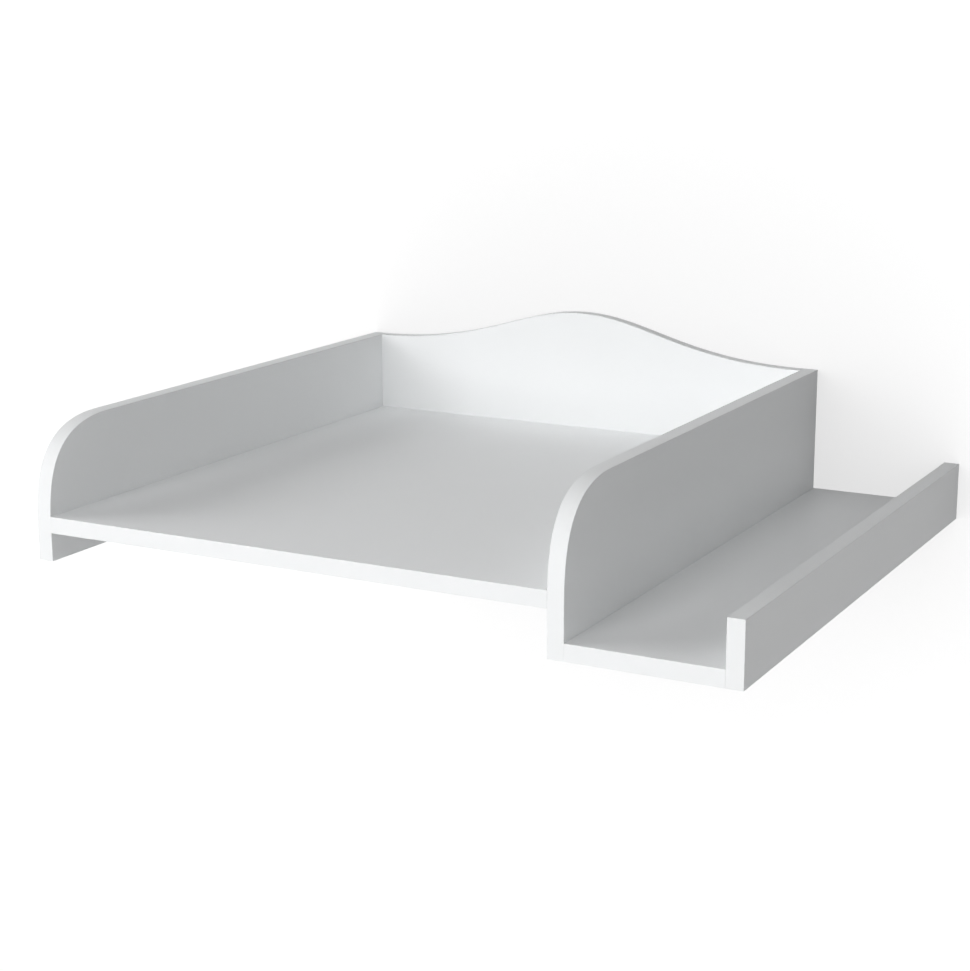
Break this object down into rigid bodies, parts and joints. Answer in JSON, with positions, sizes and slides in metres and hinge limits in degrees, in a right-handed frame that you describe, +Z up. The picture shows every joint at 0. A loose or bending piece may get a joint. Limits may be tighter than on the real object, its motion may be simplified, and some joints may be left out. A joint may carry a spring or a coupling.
{
  "type": "changing table topper",
  "caption": "White walled changing platform that sits over a chest, with rounded side panels, a wavy back and a side tray.",
  "frame": {"origin": "middle of the platform's underside, the face that rests on the furniture below", "axes": "+X towards the side tray, -Y towards the open front where the carer stands, +Z up"},
  "size_m": [0.851, 0.742, 0.227],
  "materials": {
    "coated_board": "white melamine-faced chipboard, satin with a fine pearl",
    "edge_band": "white ABS edge band, satin, arrises eased",
    "zinc_cam": "die-cast zinc, dull",
    "bolt_steel": "zinc-plated steel",
    "beech_dowel": "bare beech"
  },
  "bodies": {
    "root": {"back_end_bolt_left": "bolt_steel", "back_end_bolt_right": "bolt_steel", "back_end_cam_left": "zinc_cam", "back_end_cam_right": "zinc_cam", "back_panel": "coated_board", "back_panel_bottom_band": "edge_band", "back_panel_crest_band": "edge_band", "changing_platform": "coated_board", "left_panel_bottom_band": "edge_band", "left_panel_front_band": "edge_band", "left_panel_rear_band": "edge_band", "left_side_panel": "coated_board", "platform_back_bolt_left": "bolt_steel", "platform_back_bolt_right": "bolt_steel", "platform_back_cam_left": "zinc_cam", "platform_back_cam_right": "zinc_cam", "platform_back_dowel_left": "beech_dowel", "platform_back_dowel_right": "beech_dowel", "platform_front_band": "edge_band", "platform_left_bolt_front": "bolt_steel", "platform_left_bolt_middle": "bolt_steel", "platform_left_bolt_rear": "bolt_steel", "platform_left_cam_front": "zinc_cam", "platform_left_cam_middle": "zinc_cam", "platform_left_cam_rear": "zinc_cam", "platform_left_dowel_front": "beech_dowel", "platform_left_dowel_rear": "beech_dowel", "platform_right_bolt_front": "bolt_steel", "platform_right_bolt_middle": "bolt_steel", "platform_right_bolt_rear": "bolt_steel", "platform_right_cam_front": "zinc_cam", "platform_right_cam_middle": "zinc_cam", "platform_right_cam_rear": "zinc_cam", "platform_right_dowel_front": "beech_dowel", "platform_right_dowel_rear": "beech_dowel", "right_panel_bottom_band": "edge_band", "right_panel_front_band": "edge_band", "right_panel_rear_band": "edge_band", "right_side_panel": "coated_board", "tray_floor": "coated_board", "tray_floor_front_band": "edge_band", "tray_floor_rear_band": "edge_band", "tray_inner_bolt_front": "bolt_steel", "tray_inner_bolt_rear": "bolt_steel", "tray_inner_cam_front": "zinc_cam", "tray_inner_cam_rear": "zinc_cam", "tray_inner_dowel_front": "beech_dowel", "tray_inner_dowel_rear": "beech_dowel", "tray_outer_bolt_front": "bolt_steel", "tray_outer_bolt_rear": "bolt_steel", "tray_outer_cam_front": "zinc_cam", "tray_outer_cam_rear": "zinc_cam", "tray_outer_dowel_front": "beech_dowel", "tray_outer_dowel_rear": "beech_dowel", "tray_rail": "coated_board", "tray_rail_bottom_band": "edge_band", "tray_rail_front_band": "edge_band", "tray_rail_rear_band": "edge_band", "tray_rail_top_band": "edge_band"}
  },
  "joints": []
}
